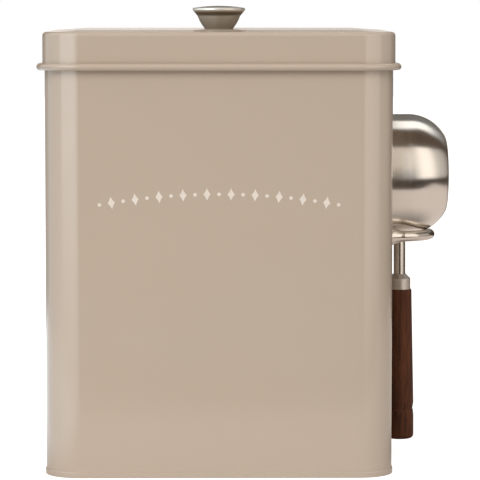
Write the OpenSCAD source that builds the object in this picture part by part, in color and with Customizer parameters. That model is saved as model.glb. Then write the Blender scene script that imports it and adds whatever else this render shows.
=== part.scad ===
// Laundry powder tin: a painted sheet-steel tin with a slip-on lid and a turned knob.
// A steel scoop with a wooden handle hangs upside down in a rod loop on the tin's right side.
// The frame is +Z up with the front facing -Y. The origin is the middle of the base.

/* [Tin] */
// Width of the tin, side to side
tin_w = 190; // [160:1:260]
// Depth of the tin, front to back
tin_d = 160; // [120:1:240]
// Height from the base to the top of the lid's border
tin_h = 242.4; // [225:0.1:320]
// Radius of the upright corners, outside
corner_r = 19; // [8:0.5:40]
// Thickness of the tin's sheet
sheet = 0.5; // [0.3:0.05:0.8]
// Height of the hem folded inwards at the mouth
hem_h = 6; // [3:0.5:15]
// Width of the lapped seam up the back
seam_w = 5; // [3:0.5:12]
// How far the seam stands out from the back
seam_t = 0.35; // [0.2:0.05:0.5]
// Height of the bottom's rim round the side wall
rim_h = 3.2; // [2.5:0.1:6]
// Height of the underside of the recessed floor
floor_z = 2.4; // [1.5:0.1:6]
// Clearance between the side wall and the rim's channel
channel_gap = 0.05; // [0.02:0.01:0.1]

/* [Lid] */
// Height of the lid from the middle of its rolled edge to the top of its border
lid_h = 18.8; // [12:0.1:30]
// Running gap between the lid and the side wall
lid_gap = 0.7; // [0.6:0.05:1.2]
// Gap between the lid and the folded edge of the mouth that it rests on
lid_seat_gap = 0.3; // [0.1:0.05:0.5]
// Radius of the lid's top edge, outside
lid_edge_r = 2; // [1:0.1:5]
// Width of the flat border round the lid's raised panel
border_w = 2; // [1:0.1:3.5]
// Radius of the panel's corners, from which its sides slope down to the border
panel_corner_r = 2; // [0.5:0.1:3]
// Rise of the panel above the border
panel_h = 1.1; // [0.4:0.1:2]
// Radius of the rolled edge, outside
curl_r = 1.9; // [1.4:0.1:3]
// Slit between the end of the roll and the lid's wall
curl_slit = 0.2; // [0.1:0.05:0.5]

/* [Knob] */
// Height of the knob above the lid
knob_h = 12.9; // [12:0.1:25]
// Radius of the knob's rim
knob_r = 14.9; // [13:0.1:20]
// Radius of the rounded edge of the rim
knob_edge_r = 0.9; // [0.5:0.1:1.5]
// Rise of the domed top above the rim's edge
knob_dome = 1.1; // [0.2:0.1:1.5]
// Radius of the stem at the lid
stem_foot_r = 7.9; // [6:0.1:10]
// Radius of the stem where the rim flares out from it
stem_top_r = 12; // [8:0.1:13]
// Height of the stem below the flare
stem_h = 7.1; // [6:0.1:8.5]
// How far the stem's side bulges out from a straight cone
stem_bulge = 0.4; // [0.1:0.05:0.8]

/* [Scoop] */
// Radius of the bowl, outside
bowl_r = 34; // [26:0.5:40]
// Depth of the bowl from its rim to the middle of its end
bowl_depth = 34.3; // [28:0.1:45]
// Length of the bowl's straight side
bowl_straight = 11.5; // [10.5:0.1:14]
// Radius of the shoulder between the side and the end
shoulder_r = 24; // [20:0.5:26]
// Radius of the blend between the shoulder and the end
blend_r = 8.5; // [5:0.5:12]
// Radius of the bowl's shallow domed end
end_dome_r = 170; // [120:5:400]
// Thickness of the bowl's sheet
bowl_sheet = 0.8; // [0.5:0.1:1.2]
// Distance from the bowl's rim back to the middle of the neck
rim_to_neck = 6.7; // [5:0.1:7.4]
// Radius of the neck rod
neck_r = 3.35; // [2.5:0.05:4]
// Length of the neck between the bowl and the ferrule
neck_l = 23.2; // [18:0.1:40]
// Length of the tang inside the handle, below the ferrule
tang_l = 34; // [20:1:50]
// Radius of the ferrule
ferrule_r = 6.2; // [5.5:0.1:6.8]
// Height of the ferrule with its shoulder
ferrule_h = 8.6; // [6.5:0.1:12]
// Thickness of the ferrule's sheet
ferrule_sheet = 0.6; // [0.4:0.05:0.9]
// Height of the shoulder that slopes from the ferrule's side up to the neck
ferrule_shoulder = 2.2; // [1:0.1:3]
// Width of the flat ring round the neck on top of the shoulder
shoulder_flat = 0.3; // [0.1:0.1:1]
// Length of the wooden handle below the ferrule
handle_l = 85.9; // [60:0.5:100]
// Radius of the handle at the ferrule
handle_top_r = 6.9; // [6.5:0.1:8.5]
// Radius of the handle near its end
handle_end_r = 8; // [7:0.1:10]
// Radius of the rounded top edge of the handle
handle_top_round = 0.6; // [0.3:0.1:0.65]
// Radius of the rounded end of the handle
handle_end_round = 2.4; // [1:0.1:4]
// Height of the turned groove above the handle's end
groove_z = 17.2; // [12:0.1:25]
// Depth of the turned groove
groove_depth = 0.65; // [0.3:0.05:1.2]
// Height of the handle's end above the table
handle_clear = 9.5; // [2:0.1:20]
// Gap between the handle's thickest part and the tin's side
handle_wall_gap = 0.35; // [0.2:0.05:1]

/* [Holder] */
// How far the loop reaches out from the tin's side
loop_reach = 27.8; // [24:0.1:34]
// Half the width of the loop, between the middles of its arms
loop_half = 21; // [19:0.5:23]
// Radius of the loop's rod
wire_r = 3; // [2:0.1:3.5]
// Radius of the flared feet against the tin's side
foot_r = 6; // [5:0.1:8]
// Length of the flare from the tin's side
foot_l = 9.5; // [6:0.1:12]
// Thickness of the foot's straight edge
foot_edge = 0.8; // [0.4:0.1:2]
// Distance of the scoop's neck from the tin's side
neck_standoff = 7.7; // [7.5:0.1:10]
// Gap left between the bowl and the loop that it rests on
rest_gap = 0.08; // [0.04:0.01:0.2]

/* [Fasteners] */
// Radius of the screws' shanks
screw_r = 2; // [1.5:0.05:2.3]
// Radius of the screws' heads
head_r = 4; // [3.2:0.1:5]
// Height of the screws' heads
head_h = 2.4; // [1.5:0.1:3.5]
// Width of the slot in the heads
slot_w = 1.1; // [0.8:0.1:1.6]
// Depth of the slot in the heads
slot_depth = 1.1; // [0.6:0.1:1.4]
// Radius of the washers
washer_r = 4.6; // [3.8:0.1:6]
// Thickness of the washers
washer_t = 0.8; // [0.5:0.1:1.5]
// How far a screw reaches into what it holds
screw_grip = 7; // [4:0.1:8.5]
// Depth left empty past a screw's tip
tip_space = 0.6; // [0.3:0.1:1]

/* [Hidden] */
$fn = 96;

// Colours
paint_colour = [0.74, 0.67, 0.60];
steel_colour = [0.75, 0.73, 0.70];
zinc_colour = [0.68, 0.69, 0.70];
wood_colour = [0.26, 0.16, 0.12];

// Clearances between pieces that are fixed to each other
thread_gap = 0.05;
hole_gap = 0.2;
weld_gap = 0.02;
socket_gap = 0.05;
washer_gap = 0.05;
// How far a cutting shape runs past the face that it cuts
over = 1;

// Tin
wall_bottom_z = sheet + channel_gap;
side_x = tin_w / 2;
rim_out = channel_gap + sheet;
rim_in = 2 * sheet + channel_gap;
rim_edge_r = 0.9 * sheet;

// Lid
lid_out = lid_gap + sheet;
lid_w = tin_w + 2 * lid_out;
lid_d = tin_d + 2 * lid_out;
lid_r = corner_r + lid_out;
border_x = lid_r - lid_edge_r - border_w;
panel_z = tin_h + panel_h;
curl_z = tin_h - lid_h;
curl_x = lid_r - sheet + curl_r;
curl_end_angle = acos((sheet + curl_slit - curl_r) / curl_r);

// Mouth, whose folded edge fits under the lid's top sheet and inside its rounded edge
fold_r = sheet;
fold_room = lid_edge_r - sheet - fold_r - lid_seat_gap;
fold_past_edge = max(0, lid_edge_r - lid_out - fold_r);
fold_rise = sqrt(fold_room * fold_room - fold_past_edge * fold_past_edge);
fold_z = min(tin_h - sheet - lid_seat_gap - fold_r, tin_h - lid_edge_r + fold_rise);
hem_z = fold_z + fold_r - hem_h;

// Seam
seam_z = rim_h + channel_gap;
seam_top_z = min(tin_h - lid_edge_r, fold_z);
seam_sink = sheet / 2;

// Screws, whose heads' seats lie this far from the sheet that they clamp
head_seat = washer_gap + washer_t;

// Knob
rim_x = knob_r - knob_edge_r;
rim_mid_z = knob_h - knob_dome - knob_edge_r;
rim_centre = [rim_x, rim_mid_z];
dome_r = (rim_x * rim_x + knob_dome * knob_dome) / (2 * knob_dome);
stem_chord = norm([stem_top_r - stem_foot_r, stem_h]);
stem_arc_r = stem_chord * stem_chord / (8 * stem_bulge) + stem_bulge / 2;
stem_centre = [
    (stem_foot_r + stem_top_r) / 2 - (stem_arc_r - stem_bulge) * stem_h / stem_chord,
    stem_h / 2 + (stem_arc_r - stem_bulge) * (stem_top_r - stem_foot_r) / stem_chord
];
dome_reach = rim_x + knob_edge_r * rim_x / dome_r;
// The rim's underside runs straight from inside the stem's top to just inside the rounded edge
under_sink = 0.02;
under_r = knob_edge_r - under_sink;
under_chord = norm(rim_centre - [stem_top_r, stem_h]);
under_slope = atan2(rim_mid_z - stem_h, rim_x - stem_top_r) - asin(under_r / under_chord);
under_start = [stem_top_r, stem_h] - over * [cos(under_slope), sin(under_slope)];
under_end = rim_centre + under_r * [sin(under_slope), -cos(under_slope)];

// Bowl, along its own axis from the rim, which is at zero
shoulder_centre = [bowl_straight, bowl_r - shoulder_r];
end_centre = [bowl_depth - end_dome_r, 0];
blend_centre = meet(shoulder_centre, shoulder_r - blend_r, end_centre, end_dome_r - blend_r);
blend_start = atan2(blend_centre.y - shoulder_centre.y, blend_centre.x - shoulder_centre.x);
blend_end = atan2(blend_centre.y - end_centre.y, blend_centre.x - end_centre.x);

// Scoop, down from the bowl's axis
ferrule_top_z = -bowl_r - neck_l;
handle_top_z = ferrule_top_z - ferrule_h;
handle_end_z = handle_top_z - handle_l;
tang_end_z = handle_top_z - tang_l;
socket_r = neck_r + socket_gap;
shoulder_z = ferrule_h - ferrule_shoulder;
cap_under_z = shoulder_z - ferrule_sheet;
tenon_r = ferrule_r - ferrule_sheet - socket_gap;
tenon_l = cap_under_z - socket_gap;
groove_run = 3.8;
groove_lip = 0.9;
groove_lip_depth = 0.25;
groove_fade = 2.9;
widest_z = handle_end_z + groove_z;

// Holder
arm_l = loop_reach - wire_r - loop_half;
tip_x = loop_reach - wire_r;
flare_l = foot_l - foot_edge;
flare_rise = foot_r - wire_r;
flare_r = (flare_l * flare_l + flare_rise * flare_rise) / (2 * flare_rise);
// The bowl rests on the loop's tip, or on its arms where they are close together
past_straight = max(0, tip_x - neck_standoff + rim_to_neck - bowl_straight);
reach_to_shoulder = shoulder_r + wire_r + rest_gap;
on_tip = bowl_r - shoulder_r + sqrt(reach_to_shoulder * reach_to_shoulder - past_straight * past_straight);
reach_to_side = bowl_r + wire_r + rest_gap;
on_arms = sqrt(reach_to_side * reach_to_side - loop_half * loop_half);
bowl_above_loop = max(on_tip, on_arms);
bowl_z = handle_clear - handle_end_z;
holder_z = bowl_z - bowl_above_loop;
neck_x = side_x + neck_standoff;
// The scoop leans until its handle lies against the tin's side
lean = asin((handle_wall_gap + handle_end_r - neck_standoff) / -widest_z);

// Where two circles meet, on the upper side of the line from the second centre to the first
function meet(a, ra, b, rb) =
    let (span = norm(a - b))
    let (along = (span * span + rb * rb - ra * ra) / (2 * span))
    let (up = sqrt(rb * rb - along * along))
    let (dir = (a - b) / span)
    b + along * dir + up * [-dir.y, dir.x];

// Carries a section round a rounded rectangle; the section's X counts from the corners' centres
module round_rim(w, d, r) {
    for (turn = [0:3]) {
        across = turn % 2 == 0 ? w : d;
        along = turn % 2 == 0 ? d : w;
        rotate(90 * turn) {
            translate([across / 2 - r, along / 2 - r, 0]) {
                rotate_extrude(angle = 90) children();
                rotate([90, 0, 0]) linear_extrude(along - 2 * r) children();
            }
        }
    }
}

// A flat sheet between the corners' centres
module middle_plate(w, d, r, z) {
    translate([r - w / 2, r - d / 2, z]) cube([w - 2 * r, d - 2 * r, sheet]);
}

// The part of a circle between two directions, less than half a turn apart
module sector(centre, r, from, to) {
    reach = 2 * r / cos((to - from) / 2);
    intersection() {
        translate(centre) circle(r);
        polygon([
            centre,
            centre + reach * [cos(from), sin(from)],
            centre + reach * [cos(to), sin(to)]
        ]);
    }
}

// A slotted pan-head screw that points up, with the seat of its head at zero
module pan_screw(l) {
    difference() {
        union() {
            cylinder(h = l, r = screw_r);
            translate([0, 0, -head_h / 2]) cylinder(h = head_h / 2, r = head_r);
            translate([0, 0, -head_h]) cylinder(h = head_h / 2, r1 = head_r - head_h / 3, r2 = head_r);
        }
        translate([-head_r - over, -slot_w / 2, -head_h - over]) {
            cube([2 * (head_r + over), slot_w, slot_depth + over]);
        }
    }
}

// A plain washer that lies on top of a screw's head
module washer() {
    linear_extrude(washer_t) {
        difference() {
            circle(washer_r);
            circle(screw_r + hole_gap);
        }
    }
}

// Places a child that points up at the inside of each of the loop's feet, pointing outwards
module at_feet(depth) {
    for (side = [-1, 1]) {
        translate([side_x - sheet - depth, side * loop_half, holder_z]) rotate([0, 90, 0]) children();
    }
}

// Moves a child from the crossing of the bowl's axis and the neck to where the scoop hangs
module hung() {
    translate([neck_x, 0, bowl_z]) rotate([0, -lean, 0]) children();
}

// Turns a child that stands on the bowl's rim plane so that its axis points away from the tin
module along_bowl() {
    translate([-rim_to_neck, 0, 0]) rotate([0, 90, 0]) children();
}

// Half the bowl's outline, thinned by t, with the axis along Y
module bowl_outline(t, rim) {
    blend_from = shoulder_centre + (shoulder_r - t) * [cos(blend_start), sin(blend_start)];
    blend_to = blend_centre + (blend_r - t) * [cos(blend_end), sin(blend_end)];
    mirror([1, -1]) {
        polygon([
            [rim, 0],
            [blend_to.x, 0],
            blend_to,
            blend_from,
            [bowl_straight, bowl_r - t],
            [rim, bowl_r - t]
        ]);
        sector(shoulder_centre, shoulder_r - t, blend_start, 90);
        sector(blend_centre, blend_r - t, blend_end, blend_start);
        intersection() {
            translate(end_centre) circle(end_dome_r - t);
            translate([blend_to.x - over, 0]) square([bowl_depth, blend_to.y]);
        }
    }
}

// Section of the side wall: one sheet, folded double at the mouth with a round top
module body_section() {
    translate([corner_r - sheet, wall_bottom_z]) square([sheet, fold_z - wall_bottom_z]);
    translate([corner_r - 2 * fold_r, hem_z]) square([2 * fold_r, fold_z - hem_z]);
    intersection() {
        translate([corner_r - fold_r, fold_z]) circle(fold_r);
        translate([corner_r - 2 * fold_r, fold_z]) square([2 * fold_r, fold_r]);
    }
}

module tin_body() {
    color(paint_colour) {
        difference() {
            union() {
                round_rim(tin_w, tin_d, corner_r) body_section();
                translate([-seam_w / 2, tin_d / 2 - seam_sink, seam_z]) {
                    cube([seam_w, seam_sink + seam_t, seam_top_z - seam_z]);
                }
            }
            at_feet(over) cylinder(h = sheet + 2 * over, r = screw_r + hole_gap);
        }
    }
}

// Section of the bottom's rim: a floor, a step down, a channel for the side wall and an outer lip
module bottom_section() {
    translate([0, floor_z]) square([corner_r - sheet - channel_gap, sheet]);
    translate([corner_r - rim_in, 0]) square([sheet, floor_z + sheet]);
    translate([corner_r - rim_in, 0]) square([rim_in + rim_out - rim_edge_r, sheet]);
    translate([corner_r + channel_gap, rim_edge_r]) square([sheet, rim_h - 2 * rim_edge_r]);
    translate([corner_r + channel_gap, 0]) square([sheet - rim_edge_r, rim_h]);
    for (z = [rim_edge_r, rim_h - rim_edge_r]) {
        intersection() {
            translate([corner_r + rim_out - rim_edge_r, z]) circle(rim_edge_r);
            translate([corner_r + channel_gap, 0]) square([sheet, rim_h]);
        }
    }
}

module tin_bottom() {
    color(paint_colour) {
        round_rim(tin_w, tin_d, corner_r) bottom_section();
        middle_plate(tin_w, tin_d, corner_r, floor_z);
    }
}

// Section of the lid: raised panel, border, rounded edge, wall and rolled lower edge
module lid_section() {
    polygon([
        [0, panel_z - sheet],
        [panel_corner_r, panel_z - sheet],
        [border_x, tin_h - sheet],
        [lid_r - lid_edge_r, tin_h - sheet],
        [lid_r - lid_edge_r, tin_h],
        [border_x, tin_h],
        [panel_corner_r, panel_z],
        [0, panel_z]
    ]);
    difference() {
        sector([lid_r - lid_edge_r, tin_h - lid_edge_r], lid_edge_r, 0, 90);
        translate([lid_r - lid_edge_r, tin_h - lid_edge_r]) circle(lid_edge_r - sheet);
    }
    translate([lid_r - sheet, curl_z]) square([sheet, tin_h - lid_edge_r - curl_z]);
    difference() {
        translate([curl_x, curl_z]) circle(curl_r);
        translate([curl_x, curl_z]) circle(curl_r - sheet);
        sector([curl_x, curl_z], curl_r + over, curl_end_angle, 180);
    }
}

module lid() {
    color(paint_colour) {
        difference() {
            union() {
                round_rim(lid_w, lid_d, lid_r) lid_section();
                middle_plate(lid_w, lid_d, lid_r, panel_z - sheet);
            }
            translate([0, 0, panel_z - sheet - over]) {
                cylinder(h = sheet + 2 * over, r = screw_r + hole_gap);
            }
        }
    }
}

// Half the knob's outline, above the lid
module knob_outline() {
    intersection() {
        translate(stem_centre) circle(stem_arc_r);
        square(rim_centre);
    }
    polygon([
        [0, under_start.y],
        under_start,
        under_end,
        rim_centre + [0, knob_edge_r / 2],
        [0, rim_mid_z + knob_edge_r / 2]
    ]);
    translate(rim_centre) circle(knob_edge_r);
    intersection() {
        translate([0, knob_h - dome_r]) circle(dome_r);
        translate([0, rim_mid_z]) square([dome_reach, knob_h - rim_mid_z]);
    }
}

module knob() {
    color(steel_colour) {
        translate([0, 0, panel_z]) {
            difference() {
                rotate_extrude() knob_outline();
                translate([0, 0, -over]) {
                    cylinder(h = screw_grip + tip_space + over, r = screw_r + thread_gap);
                }
            }
        }
    }
}

module knob_screw() {
    color(zinc_colour) {
        translate([0, 0, panel_z - sheet - head_seat]) pan_screw(sheet + head_seat + screw_grip);
    }
}

module knob_washer() {
    color(zinc_colour) translate([0, 0, panel_z - sheet - head_seat]) washer();
}

module scoop_bowl() {
    color(steel_colour) {
        hung() along_bowl() difference() {
            rotate_extrude() bowl_outline(0, 0);
            rotate_extrude() bowl_outline(bowl_sheet, -over);
        }
    }
}

module scoop_neck() {
    color(steel_colour) {
        hung() {
            difference() {
                translate([0, 0, tang_end_z]) cylinder(h = -tang_end_z, r = neck_r);
                translate([-rim_to_neck, 0, 0]) rotate([0, 90, 0]) {
                    cylinder(h = rim_to_neck + bowl_straight, r = bowl_r + weld_gap);
                }
            }
        }
    }
}

module scoop_ferrule() {
    lip = ferrule_sheet / 2;
    color(steel_colour) {
        hung() translate([0, 0, handle_top_z]) rotate_extrude() {
            polygon([
                [ferrule_r - ferrule_sheet, 0],
                [ferrule_r, 0],
                [ferrule_r, shoulder_z - lip],
                [ferrule_r - lip, shoulder_z],
                [socket_r + shoulder_flat, ferrule_h],
                [socket_r, ferrule_h],
                [socket_r, cap_under_z],
                [ferrule_r - ferrule_sheet, cap_under_z]
            ]);
        }
    }
}

// Half the handle's outline, with the handle's end at zero
module handle_outline() {
    top_r = handle_top_r - handle_top_round;
    end_r = handle_end_r - handle_end_round;
    polygon([
        [0, 0],
        [end_r, 0],
        [end_r, handle_end_round],
        [handle_end_r, handle_end_round],
        [handle_end_r, groove_z - groove_lip - groove_fade],
        [handle_end_r - groove_lip_depth, groove_z - groove_lip],
        [handle_end_r - groove_depth, groove_z],
        [handle_end_r, groove_z + groove_run],
        [handle_top_r, handle_l - handle_top_round],
        [top_r, handle_l - handle_top_round],
        [top_r, handle_l],
        [tenon_r, handle_l],
        [tenon_r, handle_l + tenon_l],
        [0, handle_l + tenon_l]
    ]);
    sector([end_r, handle_end_round], handle_end_round, -90, 0);
    sector([top_r, handle_l - handle_top_round], handle_top_round, 0, 90);
}

module scoop_handle() {
    color(wood_colour) {
        hung() difference() {
            translate([0, 0, handle_end_z]) rotate_extrude() handle_outline();
            translate([0, 0, tang_end_z - tip_space]) cylinder(h = -tang_end_z, r = socket_r);
        }
    }
}

// One of the loop's feet, from the tin's side towards the bend, as a shape turned about Z
module loop_foot() {
    rotate_extrude() {
        square([wire_r, max(arm_l, foot_l)]);
        square([foot_r, foot_edge]);
        difference() {
            translate([wire_r, foot_edge]) square([flare_rise, flare_l]);
            translate([wire_r + flare_r, foot_l]) circle(flare_r);
        }
    }
}

module holder_loop() {
    color(steel_colour) {
        difference() {
            translate([side_x, 0, holder_z]) {
                translate([arm_l, 0, 0]) rotate(-90) rotate_extrude(angle = 180) {
                    translate([loop_half, 0]) circle(wire_r);
                }
                for (side = [-1, 1]) {
                    translate([0, side * loop_half, 0]) rotate([0, 90, 0]) {
                        cylinder(h = arm_l, r = wire_r);
                        loop_foot();
                    }
                }
            }
            at_feet(0) cylinder(h = sheet + screw_grip + tip_space, r = screw_r + thread_gap);
        }
    }
}

module holder_screws() {
    color(zinc_colour) at_feet(head_seat) pan_screw(head_seat + sheet + screw_grip);
}

module holder_washers() {
    color(zinc_colour) at_feet(head_seat) washer();
}

tin_body();
tin_bottom();
lid();
knob();
knob_screw();
knob_washer();
scoop_bowl();
scoop_neck();
scoop_ferrule();
scoop_handle();
holder_loop();
holder_screws();
holder_washers();
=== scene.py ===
"""Looks of a painted laundry powder tin with a scoop hung on its side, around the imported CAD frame."""

import math
from collections import namedtuple

import bmesh
import bpy
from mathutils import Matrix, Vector


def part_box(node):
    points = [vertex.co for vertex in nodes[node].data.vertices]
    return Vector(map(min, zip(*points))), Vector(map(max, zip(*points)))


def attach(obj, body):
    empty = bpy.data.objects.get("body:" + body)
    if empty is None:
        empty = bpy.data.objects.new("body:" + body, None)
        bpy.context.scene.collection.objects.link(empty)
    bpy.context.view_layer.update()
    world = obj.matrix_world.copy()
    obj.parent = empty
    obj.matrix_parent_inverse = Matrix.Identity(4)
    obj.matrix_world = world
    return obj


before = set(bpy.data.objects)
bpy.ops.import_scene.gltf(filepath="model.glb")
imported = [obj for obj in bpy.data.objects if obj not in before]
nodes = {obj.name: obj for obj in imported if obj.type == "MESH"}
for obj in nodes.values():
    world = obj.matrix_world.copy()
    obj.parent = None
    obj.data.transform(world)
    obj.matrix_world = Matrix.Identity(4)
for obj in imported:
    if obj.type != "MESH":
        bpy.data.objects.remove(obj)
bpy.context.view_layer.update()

MM = 0.001

# Camera, in metres, degrees and pixels of a square frame
FRAME_PX = 480
FOCAL_PX = 2782.1
SENSOR_MM = 36.0
CAMERA_AT = Vector((-0.0007, -1.58, 0.2588))
CAMERA_PITCH = 4.899
CAMERA_YAW = 0.459

# Kinds of finish values: colours are linear, noise scales are in waves a metre, and a relief's
# depth is in metres
Noise = namedtuple("Noise", "scale detail roughness", defaults=(2.0, 0.5))
Relief = namedtuple("Relief", "strength depth")
Lathe = namedtuple("Lathe", "colour axis roughness streak anisotropy")
NOISE_MIDDLE = (0.3, 0.7)
WHITE = (1.0, 1.0, 1.0)
BLACK = (0.0, 0.0, 0.0)

# Paint on the tin and its lid
PAINT = (0.50, 0.40, 0.315)
PAINT_MOTTLE = 0.015
PAINT_MOTTLE_NOISE = Noise(14.0, 3.0)
PAINT_GLOSS_NOISE = Noise(55.0)
PAINT_ROUGHNESS = (0.12, 0.16)
PAINT_SPECULAR = 0.8
PEEL_NOISE = Noise(330.0, 1.0)
PEEL = Relief(0.04, 0.04 * MM)

# Print on the front
PRINT = (0.74, 0.66, 0.575)
PRINT_THIN = 0.93
COVER_NOISE = Noise(420.0, 3.0)
COVER_RANGE = (0.25, 0.6)
PRINT_GLOSS_NOISE = Noise(90.0)
PRINT_ROUGHNESS = (0.3, 0.38)
PRINT_GRAIN_NOISE = Noise(1500.0, 1.0)
PRINT_GRAIN = Relief(0.04, 0.03 * MM)

# Metals finished on a lathe, with fine rings whose pattern drifts by a small length a radian
KNOB = Lathe((0.42, 0.39, 0.335), "Z", 0.46, 0.10, 0.3)
BOWL = Lathe((0.84, 0.80, 0.74), "X", 0.25, 0.06, 0.92)
FERRULE = Lathe((0.60, 0.555, 0.505), "Z", 0.4, 0.2, 0.3)
RING_FINE_NOISE = Noise(5200.0, 3.0, 0.7)
RING_BROAD_NOISE = Noise(700.0)
RING_DRIFT = 0.4 * MM
RING_ROUGH_SHARE = 0.1
RING = Relief(0.02, 0.02 * MM)
QUARTER_TURN = 0.25

# Painted shade under the knob's rim and a painted highlight along its rim, by height from its middle
PAINTED_RIM_SHADE = (0.15, 0.125, 0.095)
PAINTED_RIM_SHADE_Z = (1.2 * MM, 3.0 * MM)
PAINTED_RIM_HIGHLIGHT = (0.90, 0.88, 0.82)
PAINTED_RIM_HIGHLIGHT_Z = (3.8 * MM, 5.6 * MM)
PAINTED_RIM_SOFT = 0.5 * MM

# Polished rod of the neck and the loop
ROD = (0.70, 0.65, 0.59)
ROD_ROUGHNESS = 0.14
HAZE = 0.06
HAZE_NOISE = Noise(160.0, 4.0)
HAIR_NOISE = Noise(4200.0, 2.0, 0.7)
HAIR_STRETCH = (1.0, 0.12, 1.0)
HAIR_ROUGH_SHARE = 0.25
HAIR = Relief(0.05, 0.02 * MM)

# Zinc on the screws and washers
ZINC = (0.58, 0.59, 0.60)
CRYSTAL_SCALE = 900.0
CRYSTAL_RANGE = (0.0, 0.8)
CRYSTAL_TONE = 0.1
ZINC_ROUGHNESS = (0.3, 0.42)
CRYSTAL = Relief(0.04, 0.02 * MM)

# Wood of the handle
WOOD_DARK = (0.030, 0.012, 0.006)
WOOD_LIGHT = (0.140, 0.046, 0.021)
GRAIN_STRETCH = (1.0, 1.0, 0.06)
FIGURE_NOISE = Noise(260.0, 4.0, 0.6)
FIBRE_NOISE = Noise(1900.0, 3.0, 0.7)
FIGURE_SHARE = 0.65
GRAIN_RANGE = (0.36, 0.66)
PORE_RANGE = (0.28, 0.4)
PORE_TONE = 0.6
WOOD_ROUGHNESS = (0.5, 0.38)
WOOD_SPECULAR = 0.1
FIBRE = Relief(0.25, 0.08 * MM)

# Floor, in metres
FLOOR = (0.56, 0.56, 0.55)
FLOOR_MOTTLE = 0.99
FLOOR_NOISE = Noise(4.0)
FLOOR_ROUGHNESS = 0.9
FLOOR_SPECULAR = 0.1
FLOOR_GLOW = 0.8
FLOOR_SIZE = 12.0

# Ornament on the front: marks along a shallow arch
ORNAMENT_Z = 155.0 * MM
ORNAMENT_ARCH_R = 370.0 * MM
MARK_STEP = 6.5 * MM
MARKS_EACH_SIDE = 10
LOZENGE_HALF = (2.0 * MM, 3.5 * MM)
LOZENGE_POWER = 0.85
LOZENGE_STEPS = 48
DOT_HALF = (1.0 * MM, 1.0 * MM)
DOT_POWER = 2.0
DOT_STEPS = 24
PRINT_LIFT = 0.02 * MM
PRINT_T = 0.03 * MM

# Weld between the scoop's neck and its bowl
WELD_W = 1.1 * MM
WELD_STEPS = 64
WELD_ARC_STEPS = 6

# Light seen by rough surfaces: a dome that is brighter above and a touch brighter to the right, a
# key light and a low bounce in front of the tin. Places and sizes are in metres.
DOME_LEVEL = 0.58
DOME_UP = 0.25
DOME_RIGHT = 0.03
DOME_TINT = (1.0, 0.995, 0.985, 1.0)
KEY_AT = Vector((-0.56, -3.4, 2.9))
KEY_TARGET = Vector((0.0, 0.0, 0.2))
KEY_SIZE = (2.4, 2.4)
KEY_POWER = 97.0
BOUNCE_AT = Vector((-0.10, -0.38, 0.015))
BOUNCE_TARGET = Vector((-0.03, -0.08, 0.03))
BOUNCE_SIZE = (0.5, 0.12)
BOUNCE_POWER = 0.28

# Light seen by glossy surfaces: cards placed by azimuth, from the front towards the right, and
# by elevation, both in degrees. A card's lower and upper edges each run straight between their
# elevations at its two ends.
Card = namedtuple("Card", "azimuth low high soft_low soft_high level tint")
AZIMUTH_SOFT = 3.0
COOL = (0.92, 1.0, 1.05)
NEUTRAL = (1.0, 0.99, 0.97)
PALE = (1.0, 0.92, 0.84)
WARM = (1.0, 0.845, 0.71)
CARDS = {
    "left_box": Card((-61, -12), (-5.2, -5.2), (62, 62), 1.5, 3, 2.5, COOL),
    "left_side": Card((-128, -10), (-9, -9), (50, 50), 1.5, 6, 1.15, COOL),
    "front": Card((-12, 30), (7, 7), (55, 53), 16, 2.5, 0.60, WARM),
    "right_box": Card((20, 73), (-6.5, -5.2), (56, 43), 2.0, 2.5, 1.4, PALE),
    "right_side": Card((73, 118), (-5.2, -3.8), (41, 20), 1.5, 2.5, 0.52, PALE),
    "back_low_right": Card((173, 185), (-12, -12), (-1, -1), 2, 0.7, 1.1, NEUTRAL),
    "back_low_left": Card((-185, -128), (-12, -12), (-1, -1), 2, 0.7, 0.45, NEUTRAL),
    "back_level_left": Card((-185, -160), (-1, -1), (10, 10), 0.7, 1.5, 1.0, PALE),
    "back_level_right": Card((160, 185), (-1, -1), (10, 10), 0.7, 1.5, 0.85, PALE),
    "back_top": Card((150, 185), (18, 18), (62, 62), 4, 4, 0.2, NEUTRAL),
    "back_corner": Card((126, 152), (17, 17), (36, 36), 3, 4, 0.27, NEUTRAL),
}
# The dark room behind the cards, which turns from one tone to the other between two elevations
DARK_BELOW = (0.045, 0.034, 0.028, 1.0)
DARK_ABOVE = (0.106, 0.074, 0.054, 1.0)
DARK_TURN = (-12, 30)
# The overhead box, as slopes sideways and backwards from straight up, in directions that rise
# more than a little
TOP_SIDE = (-1.1, 1.0)
TOP_SIDE_SOFT = 0.45
TOP_BACK = (0.14, 0.70)
TOP_BACK_SOFT = 0.07
TOP_SKEW = 0.35
TOP_LEVEL = 1.4
LOWEST_UP = 0.05
# The table's lit top, which only reflections see: a rectangle on the floor, in metres, whose
# colour turns at one side and which is darker under the scoop
TABLE_X = (-0.7, 0.8)
TABLE_Y = (-0.33, 0.6)
TABLE_RIGHT = (0.74, 0.645, 0.59, 1.0)
TABLE_LEFT = (1.50, 1.62, 1.70, 1.0)
TABLE_TURN = (-0.20, -0.10)
SCOOP_SHADE_AT = (0.115, 0.02, 0.0)
SCOOP_SHADE_R = 0.13
SCOOP_SHADE = 0.25


def rgba(colour, level=1.0):
    """A colour times a level, with full alpha."""
    return tuple(level * c for c in colour) + (1.0,)


def around(value, share):
    """A share below a value, and the same share above it."""
    return (1 - share) * value, (1 + share) * value


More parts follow.
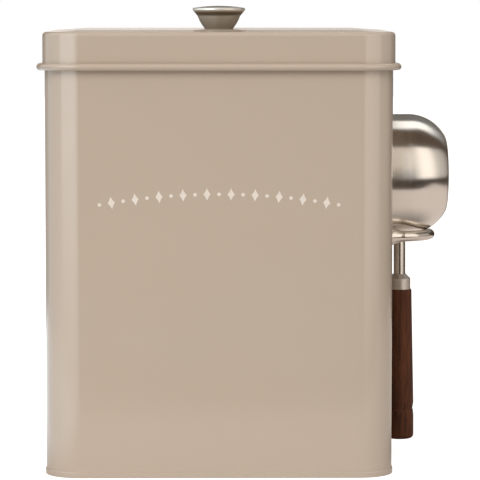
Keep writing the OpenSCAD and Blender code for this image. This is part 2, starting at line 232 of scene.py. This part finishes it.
class Tree:
    """Adds nodes and links to one node tree."""

    def __init__(self, tree):
        self.tree = tree
        tree.nodes.clear()

    def add(self, kind, inputs=None, **settings):
        made = self.tree.nodes.new(kind)
        for name, value in settings.items():
            setattr(made, name, value)
        for key, value in (inputs or {}).items():
            self.put(made.inputs[key], value)
        return made

    def put(self, socket, value):
        if isinstance(value, bpy.types.NodeSocket):
            self.tree.links.new(value, socket)
        else:
            socket.default_value = value

    def math(self, operation, *values):
        return self.add("ShaderNodeMath", dict(enumerate(values)), operation=operation).outputs[0]

    def vector(self, operation, *values):
        return self.add("ShaderNodeVectorMath", dict(enumerate(values)), operation=operation).outputs[0]

    def distance(self, a, b):
        made = self.add("ShaderNodeVectorMath", {0: a, 1: b}, operation="DISTANCE")
        return made.outputs["Value"]

    def scaled(self, colour, factor):
        inputs = {0: colour, "Scale": factor}
        return self.add("ShaderNodeVectorMath", inputs, operation="SCALE").outputs[0]

    def ramp(self, value, low, high, to_low=0.0, to_high=1.0, smooth=False):
        """A value from low to high, mapped to another range and clamped there."""
        kind = "SMOOTHSTEP" if smooth else "LINEAR"
        inputs = dict(enumerate((value, low, high, to_low, to_high)))
        return self.add("ShaderNodeMapRange", inputs, interpolation_type=kind).outputs[0]

    def spread(self, noise, low, high):
        """The middle of a noise's range, mapped to a range from low to high."""
        return self.ramp(noise, *NOISE_MIDDLE, low, high)

    def between(self, value, low, high, soft_low, soft_high):
        """One between two values or sockets, falling to nothing over soft edges."""
        past_low = self.ramp(self.math("SUBTRACT", value, low), -soft_low, soft_low, smooth=True)
        past_high = self.ramp(self.math("SUBTRACT", high, value), -soft_high, soft_high, smooth=True)
        return self.math("MULTIPLY", past_low, past_high)

    def mix(self, factor, a, b):
        made = self.add("ShaderNodeMix", {"Factor": factor}, data_type="RGBA")
        colours = [socket for socket in made.inputs if socket.type == "RGBA"]
        self.put(colours[0], a)
        self.put(colours[1], b)
        return next(socket for socket in made.outputs if socket.type == "RGBA")

    def varied(self, factor, colour, share):
        """A colour that goes from a share darker to a share lighter as the factor rises."""
        return self.mix(factor, rgba(colour, 1 - share), rgba(colour, 1 + share))

    def noise(self, vector, kind):
        inputs = {
            "Vector": vector,
            "Scale": kind.scale,
            "Detail": kind.detail,
            "Roughness": kind.roughness,
        }
        return self.add("ShaderNodeTexNoise", inputs).outputs["Fac"]

    def place(self):
        return self.add("ShaderNodeTexCoord").outputs["Object"]

    def stretched(self, vector, scale):
        return self.add("ShaderNodeMapping", {"Vector": vector, "Scale": scale}).outputs[0]

    def parts(self, vector):
        return self.add("ShaderNodeSeparateXYZ", {0: vector}).outputs

    def background(self, colour, strength=1.0):
        return self.add("ShaderNodeBackground", {"Color": colour, "Strength": strength}).outputs[0]

    def mix_shader(self, factor, a, b):
        return self.add("ShaderNodeMixShader", {0: factor, 1: a, 2: b}).outputs[0]


def material(name):
    """A material with a bare Principled surface; returns it with its tree and surface node."""
    made = bpy.data.materials.new(name)
    made.use_nodes = True
    tree = Tree(made.node_tree)
    surface = tree.add("ShaderNodeBsdfPrincipled")
    out = tree.add("ShaderNodeOutputMaterial")
    tree.put(out.inputs["Surface"], surface.outputs[0])
    return made, tree, surface


def bump(tree, surface, height, relief):
    inputs = {"Strength": relief.strength, "Distance": relief.depth, "Height": height}
    made = tree.add("ShaderNodeBump", inputs)
    tree.put(surface.inputs["Normal"], made.outputs[0])


def paint_material():
    """Satin enamel: faint mottling, slightly uneven gloss and soft orange peel."""
    made, tree, surface = material("paint")
    place = tree.place()
    mottle = tree.noise(place, PAINT_MOTTLE_NOISE)
    tree.put(surface.inputs["Base Color"], tree.varied(mottle, PAINT, PAINT_MOTTLE))
    gloss = tree.noise(place, PAINT_GLOSS_NOISE)
    tree.put(surface.inputs["Roughness"], tree.spread(gloss, *PAINT_ROUGHNESS))
    surface.inputs["Specular IOR Level"].default_value = PAINT_SPECULAR
    bump(tree, surface, tree.noise(place, PEEL_NOISE), PEEL)
    return made


def print_material():
    """Screen-printed off-white enamel, a little thin in places."""
    made, tree, surface = material("print")
    place = tree.place()
    cover = tree.ramp(tree.noise(place, COVER_NOISE), *COVER_RANGE)
    tree.put(surface.inputs["Base Color"], tree.mix(cover, rgba(PRINT, PRINT_THIN), rgba(PRINT)))
    gloss = tree.noise(place, PRINT_GLOSS_NOISE)
    tree.put(surface.inputs["Roughness"], tree.spread(gloss, *PRINT_ROUGHNESS))
    bump(tree, surface, tree.noise(place, PRINT_GRAIN_NOISE), PRINT_GRAIN)
    return made


def turned_vector(tree, centre, axis):
    """Coordinates that follow turning marks: along the axis, out from it, and slowly round it."""
    x, y, z = tree.parts(tree.vector("SUBTRACT", tree.place(), centre))
    along, a, b = (x, y, z) if axis == "X" else (z, x, y)
    squares = tree.math("ADD", tree.math("MULTIPLY", a, a), tree.math("MULTIPLY", b, b))
    out = tree.math("SQRT", squares)
    round_it = tree.math("MULTIPLY", tree.math("ARCTAN2", a, b), RING_DRIFT)
    return tree.add("ShaderNodeCombineXYZ", {0: along, 1: out, 2: round_it}).outputs[0]


def knob_painted_light(tree, vector, colour):
    """Painted shade in the hollow under the knob's rim, and a painted highlight on the rim."""
    height = tree.parts(vector)[0]
    # The dark band is painted shade under the rim, and the light band is a painted highlight on it
    rim_shade_mask = tree.between(height, *PAINTED_RIM_SHADE_Z, PAINTED_RIM_SOFT, PAINTED_RIM_SOFT)
    rim_highlight_mask = tree.between(height, *PAINTED_RIM_HIGHLIGHT_Z, PAINTED_RIM_SOFT, PAINTED_RIM_SOFT)
    return tree.mix(rim_highlight_mask, tree.mix(rim_shade_mask, colour, rgba(PAINTED_RIM_SHADE)), rgba(PAINTED_RIM_HIGHLIGHT))


def turned_metal(name, node, finish, painted_light=None):
    """Metal finished on a lathe, with fine rings round the axis of a node's box."""
    made, tree, surface = material(name)
    low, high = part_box(node)
    vector = turned_vector(tree, (low + high) / 2, finish.axis)
    fine = tree.noise(vector, RING_FINE_NOISE)
    broad = tree.noise(vector, RING_BROAD_NOISE)
    tone = tree.math("MULTIPLY", tree.math("ADD", fine, broad), 0.5)
    streaked = tree.varied(tone, finish.colour, finish.streak)
    # A finish may add painted shade and a painted highlight to its colour here
    tree.put(surface.inputs["Base Color"], painted_light(tree, vector, streaked) if painted_light else streaked)
    rough = tree.spread(tone, *around(finish.roughness, RING_ROUGH_SHARE))
    tree.put(surface.inputs["Roughness"], rough)
    surface.inputs["Metallic"].default_value = 1.0
    surface.inputs["Anisotropic"].default_value = finish.anisotropy
    surface.inputs["Anisotropic Rotation"].default_value = QUARTER_TURN
    tangent = tree.add("ShaderNodeTangent", direction_type="RADIAL", axis=finish.axis)
    tree.put(surface.inputs["Tangent"], tangent.outputs[0])
    bump(tree, surface, fine, RING)
    return made


def rod_material():
    """Polished rod with faint hazy patches and hair scratches."""
    made, tree, surface = material("rod_steel")
    place = tree.place()
    haze = tree.noise(place, HAZE_NOISE)
    tree.put(surface.inputs["Base Color"], tree.varied(haze, ROD, HAZE))
    hair = tree.noise(tree.stretched(place, HAIR_STRETCH), HAIR_NOISE)
    rough = tree.spread(hair, *around(ROD_ROUGHNESS, HAIR_ROUGH_SHARE))
    tree.put(surface.inputs["Roughness"], rough)
    surface.inputs["Metallic"].default_value = 1.0
    bump(tree, surface, hair, HAIR)
    return made


def zinc_material():
    """Zinc plate: a fine crystalline mottle."""
    made, tree, surface = material("zinc")
    cells = tree.add("ShaderNodeTexVoronoi", {"Vector": tree.place(), "Scale": CRYSTAL_SCALE})
    tone = tree.ramp(cells.outputs["Distance"], *CRYSTAL_RANGE)
    tree.put(surface.inputs["Base Color"], tree.varied(tone, ZINC, CRYSTAL_TONE))
    tree.put(surface.inputs["Roughness"], tree.ramp(tone, 0.0, 1.0, *ZINC_ROUGHNESS))
    surface.inputs["Metallic"].default_value = 1.0
    bump(tree, surface, tone, CRYSTAL)
    return made


def wood_material():
    """Dark oiled hardwood, with the grain along the handle and small open pores."""
    made, tree, surface = material("wood")
    along = tree.stretched(tree.place(), GRAIN_STRETCH)
    figure = tree.noise(along, FIGURE_NOISE)
    fibre = tree.noise(along, FIBRE_NOISE)
    broad = tree.math("MULTIPLY", figure, FIGURE_SHARE)
    narrow = tree.math("MULTIPLY", fibre, 1 - FIGURE_SHARE)
    tone = tree.ramp(tree.math("ADD", broad, narrow), *GRAIN_RANGE)
    colour = tree.mix(tone, rgba(WOOD_DARK), rgba(WOOD_LIGHT))
    pores = tree.ramp(fibre, *PORE_RANGE)
    tree.put(surface.inputs["Base Color"], tree.mix(pores, rgba(WOOD_DARK, PORE_TONE), colour))
    tree.put(surface.inputs["Roughness"], tree.spread(fibre, *WOOD_ROUGHNESS))
    surface.inputs["Specular IOR Level"].default_value = WOOD_SPECULAR
    bump(tree, surface, fibre, FIBRE)
    return made


def floor_material():
    """Pale matt floor that glows a little, so that it reads as white as the backdrop."""
    made, tree, surface = material("floor")
    tone = tree.noise(tree.place(), FLOOR_NOISE)
    tree.put(surface.inputs["Base Color"], tree.mix(tone, rgba(FLOOR, FLOOR_MOTTLE), rgba(FLOOR)))
    surface.inputs["Roughness"].default_value = FLOOR_ROUGHNESS
    surface.inputs["Specular IOR Level"].default_value = FLOOR_SPECULAR
    surface.inputs["Emission Color"].default_value = rgba(WHITE)
    seen = tree.add("ShaderNodeLightPath").outputs["Is Camera Ray"]
    tree.put(surface.inputs["Emission Strength"], tree.math("MULTIPLY", seen, FLOOR_GLOW))
    return made


def finish_nodes(rod):
    """Gives every CAD node its finish."""
    paint = paint_material()
    zinc = zinc_material()
    looks = {
        "tin_body": paint,
        "tin_bottom": paint,
        "lid": paint,
        # The knob's colour carries painted shade under its rim and a painted highlight on the rim
        "knob": turned_metal("knob_pewter", "knob", KNOB, knob_painted_light),
        "knob_screw": zinc,
        "knob_washer": zinc,
        "scoop_bowl": turned_metal("bowl_steel", "scoop_bowl", BOWL),
        "scoop_neck": rod,
        "scoop_ferrule": turned_metal("ferrule_steel", "scoop_ferrule", FERRULE),
        "scoop_handle": wood_material(),
        "holder_loop": rod,
        "holder_screws": zinc,
        "holder_washers": zinc,
    }
    for name, look in looks.items():
        for slot in nodes[name].material_slots:
            slot.material = look


def piece(name, fill, look, body):
    """Makes a mesh piece from a function that fills a bmesh, and puts it on a body."""
    mesh = bpy.data.meshes.new(name)
    shape = bmesh.new()
    fill(shape)
    bmesh.ops.recalc_face_normals(shape, faces=shape.faces)
    shape.to_mesh(mesh)
    shape.free()
    made = bpy.data.objects.new(name, mesh)
    mesh.materials.append(look)
    bpy.context.scene.collection.objects.link(made)
    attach(made, body)


def plate(shape, outline, back, thickness):
    """A thin upright plate facing -Y from a closed outline of (x, z) points."""
    front = [shape.verts.new((x, back - thickness, z)) for x, z in outline]
    rear = [shape.verts.new((x, back, z)) for x, z in outline]
    shape.faces.new(front)
    shape.faces.new(rear[::-1])
    count = len(outline)
    for i in range(count):
        j = (i + 1) % count
        shape.faces.new((front[i], rear[i], rear[j], front[j]))


def superellipse(half_w, half_h, power, steps):
    """Points round |x / w|^p + |z / h|^p = 1."""
    points = []
    for i in range(steps):
        angle = 2 * math.pi * i / steps
        c, s = math.cos(angle), math.sin(angle)
        x = half_w * math.copysign(abs(c) ** (2 / power), c)
        z = half_h * math.copysign(abs(s) ** (2 / power), s)
        points.append((x, z))
    return points


def fill_ornament(shape):
    """Lozenges and dots in turn along the arch, upright to it."""
    wall_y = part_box("tin_body")[0].y
    arch_z = ORNAMENT_Z - ORNAMENT_ARCH_R
    lozenge = superellipse(*LOZENGE_HALF, LOZENGE_POWER, LOZENGE_STEPS)
    dot = superellipse(*DOT_HALF, DOT_POWER, DOT_STEPS)
    for mark in range(-MARKS_EACH_SIDE, MARKS_EACH_SIDE + 1):
        angle = mark * MARK_STEP / ORNAMENT_ARCH_R
        c, s = math.cos(angle), math.sin(angle)
        outline = lozenge if mark % 2 else dot
        turned = []
        for x, z in outline:
            reach = ORNAMENT_ARCH_R + z
            turned.append((c * x + s * reach, arch_z - s * x + c * reach))
        plate(shape, turned, wall_y - PRINT_LIFT, PRINT_T)


def fill_weld(shape):
    """A hollow fillet round the top of the scoop's neck, against the bowl's side."""
    neck_low, neck_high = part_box("scoop_neck")
    bowl_low, bowl_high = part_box("scoop_bowl")
    neck_r = (neck_high.y - neck_low.y) / 2
    bowl_r = (bowl_high.y - bowl_low.y) / 2
    neck_x = neck_low.x + neck_r
    bowl_z = (bowl_low.z + bowl_high.z) / 2
    section = []
    for i in range(WELD_ARC_STEPS + 1):
        turn = math.pi / 2 * i / WELD_ARC_STEPS
        section.append((neck_r + WELD_W * (1 - math.cos(turn)), WELD_W * (1 - math.sin(turn))))
    rows = []
    for i in range(WELD_STEPS):
        angle = 2 * math.pi * i / WELD_STEPS
        row = []
        for reach, drop in section:
            y = reach * math.sin(angle)
            z = bowl_z - math.sqrt(bowl_r * bowl_r - y * y) - drop
            row.append(shape.verts.new((neck_x + reach * math.cos(angle), y, z)))
        rows.append(row)
    for i in range(WELD_STEPS):
        here, there = rows[i], rows[(i + 1) % WELD_STEPS]
        for k in range(WELD_ARC_STEPS):
            face = shape.faces.new((here[k], there[k], there[k + 1], here[k + 1]))
            face.smooth = True


def make_floor():
    bpy.ops.mesh.primitive_plane_add(size=FLOOR_SIZE, location=(0, 0, 0))
    made = bpy.context.object
    made.name = "floor"
    made.data.materials.append(floor_material())
    made.visible_glossy = False


def table_material():
    """Black but for its own light, which turns in colour at one side and dims under the scoop."""
    made, tree, surface = material("table")
    surface.inputs["Base Color"].default_value = rgba(BLACK)
    surface.inputs["Specular IOR Level"].default_value = 0.0
    place = tree.place()
    side = tree.ramp(tree.parts(place)[0], *TABLE_TURN)
    tree.put(surface.inputs["Emission Color"], tree.mix(side, TABLE_LEFT, TABLE_RIGHT))
    away = tree.distance(place, SCOOP_SHADE_AT)
    level = tree.ramp(away, 0.0, SCOOP_SHADE_R, SCOOP_SHADE, 1.0, smooth=True)
    tree.put(surface.inputs["Emission Strength"], level)
    return made


def make_table():
    """The lit table top around the object, there for reflections alone."""
    shape = bpy.data.meshes.new("table")
    corners = [(TABLE_X[i], TABLE_Y[j], 0.0) for i, j in ((0, 0), (1, 0), (1, 1), (0, 1))]
    shape.from_pydata(corners, [], [(0, 1, 2, 3)])
    shape.materials.append(table_material())
    table = bpy.data.objects.new("table", shape)
    bpy.context.scene.collection.objects.link(table)
    table.visible_camera = False
    table.visible_diffuse = False
    table.visible_shadow = False


def aim(thing, direction):
    """Turns a camera or a light to look along a direction, and puts it in the scene."""
    thing.rotation_euler = direction.to_track_quat("-Z", "Y").to_euler()
    bpy.context.scene.collection.objects.link(thing)


def make_camera():
    data = bpy.data.cameras.new("camera")
    data.sensor_width = SENSOR_MM
    data.lens = FOCAL_PX / FRAME_PX * SENSOR_MM
    made = bpy.data.objects.new("camera", data)
    made.location = CAMERA_AT
    pitch, yaw = math.radians(CAMERA_PITCH), math.radians(CAMERA_YAW)
    flat = math.cos(pitch)
    aim(made, Vector((math.sin(yaw) * flat, math.cos(yaw) * flat, -math.sin(pitch))))
    bpy.context.scene.camera = made


def make_light(name, at, target, size, power):
    """A rectangular light that rough surfaces see, and reflections don't."""
    data = bpy.data.lights.new(name, "AREA")
    data.shape = "RECTANGLE"
    data.size, data.size_y = size
    data.energy = power
    made = bpy.data.objects.new(name, data)
    made.location = at
    made.visible_glossy = False
    made.visible_camera = False
    aim(made, target - at)


def card_light(tree, card, azimuth, elevation):
    """One card's colour in a direction, black outside it."""
    low = tree.ramp(azimuth, *card.azimuth, *card.low)
    high = tree.ramp(azimuth, *card.azimuth, *card.high)
    across = tree.between(azimuth, *card.azimuth, AZIMUTH_SOFT, AZIMUTH_SOFT)
    upright = tree.between(elevation, low, high, card.soft_low, card.soft_high)
    level = tree.math("MULTIPLY", tree.math("MULTIPLY", across, upright), card.level)
    return tree.scaled(card.tint, level)


def top_light(tree, x, y, z):
    """Colour of the overhead box in a direction."""
    up = tree.math("MAXIMUM", z, LOWEST_UP)
    side = tree.math("DIVIDE", x, up)
    back = tree.math("SUBTRACT", tree.math("DIVIDE", y, up), tree.math("MULTIPLY", side, TOP_SKEW))
    across = tree.between(side, *TOP_SIDE, TOP_SIDE_SOFT, TOP_SIDE_SOFT)
    along = tree.between(back, *TOP_BACK, TOP_BACK_SOFT, TOP_BACK_SOFT)
    level = tree.math("MULTIPLY", tree.math("MULTIPLY", across, along), TOP_LEVEL)
    return tree.scaled(NEUTRAL, tree.math("MULTIPLY", level, tree.math("GREATER_THAN", z, LOWEST_UP)))


def studio_light(tree, direction):
    """What glossy surfaces see: the dark room with its cards and overhead box."""
    x, y, z = tree.parts(direction)
    azimuth = tree.math("DEGREES", tree.math("ARCTAN2", x, tree.math("MULTIPLY", y, -1.0)))
    elevation = tree.math("DEGREES", tree.math("ARCSINE", z))
    dark = tree.mix(tree.ramp(elevation, *DARK_TURN), DARK_BELOW, DARK_ABOVE)
    total = tree.vector("MAXIMUM", dark, top_light(tree, x, y, z))
    for card in CARDS.values():
        total = tree.vector("MAXIMUM", total, card_light(tree, card, azimuth, elevation))
    return total


def dome_light(tree, direction):
    """Level of the dome that rough surfaces see, in a direction."""
    x, _, z = tree.parts(direction)
    lean = tree.math("ADD", tree.math("MULTIPLY", z, DOME_UP), tree.math("MULTIPLY", x, DOME_RIGHT))
    return tree.math("MULTIPLY", tree.math("ADD", lean, 1.0), DOME_LEVEL)


def make_world():
    """White to the camera, a soft dome to rough surfaces and studio cards to glossy ones."""
    world = bpy.data.worlds.new("studio")
    world.use_nodes = True
    world.cycles.sampling_method = "NONE"
    bpy.context.scene.world = world
    tree = Tree(world.node_tree)
    direction = tree.add("ShaderNodeTexCoord").outputs["Generated"]
    path = tree.add("ShaderNodeLightPath").outputs
    rough = tree.background(DOME_TINT, dome_light(tree, direction))
    gloss = tree.background(studio_light(tree, direction))
    on_object = tree.mix_shader(path["Is Glossy Ray"], rough, gloss)
    seen = tree.mix_shader(path["Is Camera Ray"], on_object, tree.background(rgba(WHITE)))
    out = tree.add("ShaderNodeOutputWorld")
    tree.put(out.inputs["Surface"], seen)


bpy.context.scene.view_settings.view_transform = "Standard"
rod_steel = rod_material()
finish_nodes(rod_steel)
piece("front_ornament", fill_ornament, print_material(), "tin")
piece("neck_weld", fill_weld, rod_steel, "tin")
make_floor()
make_table()
make_camera()
make_light("key", KEY_AT, KEY_TARGET, KEY_SIZE, KEY_POWER)
make_light("bounce", BOUNCE_AT, BOUNCE_TARGET, BOUNCE_SIZE, BOUNCE_POWER)
make_world()
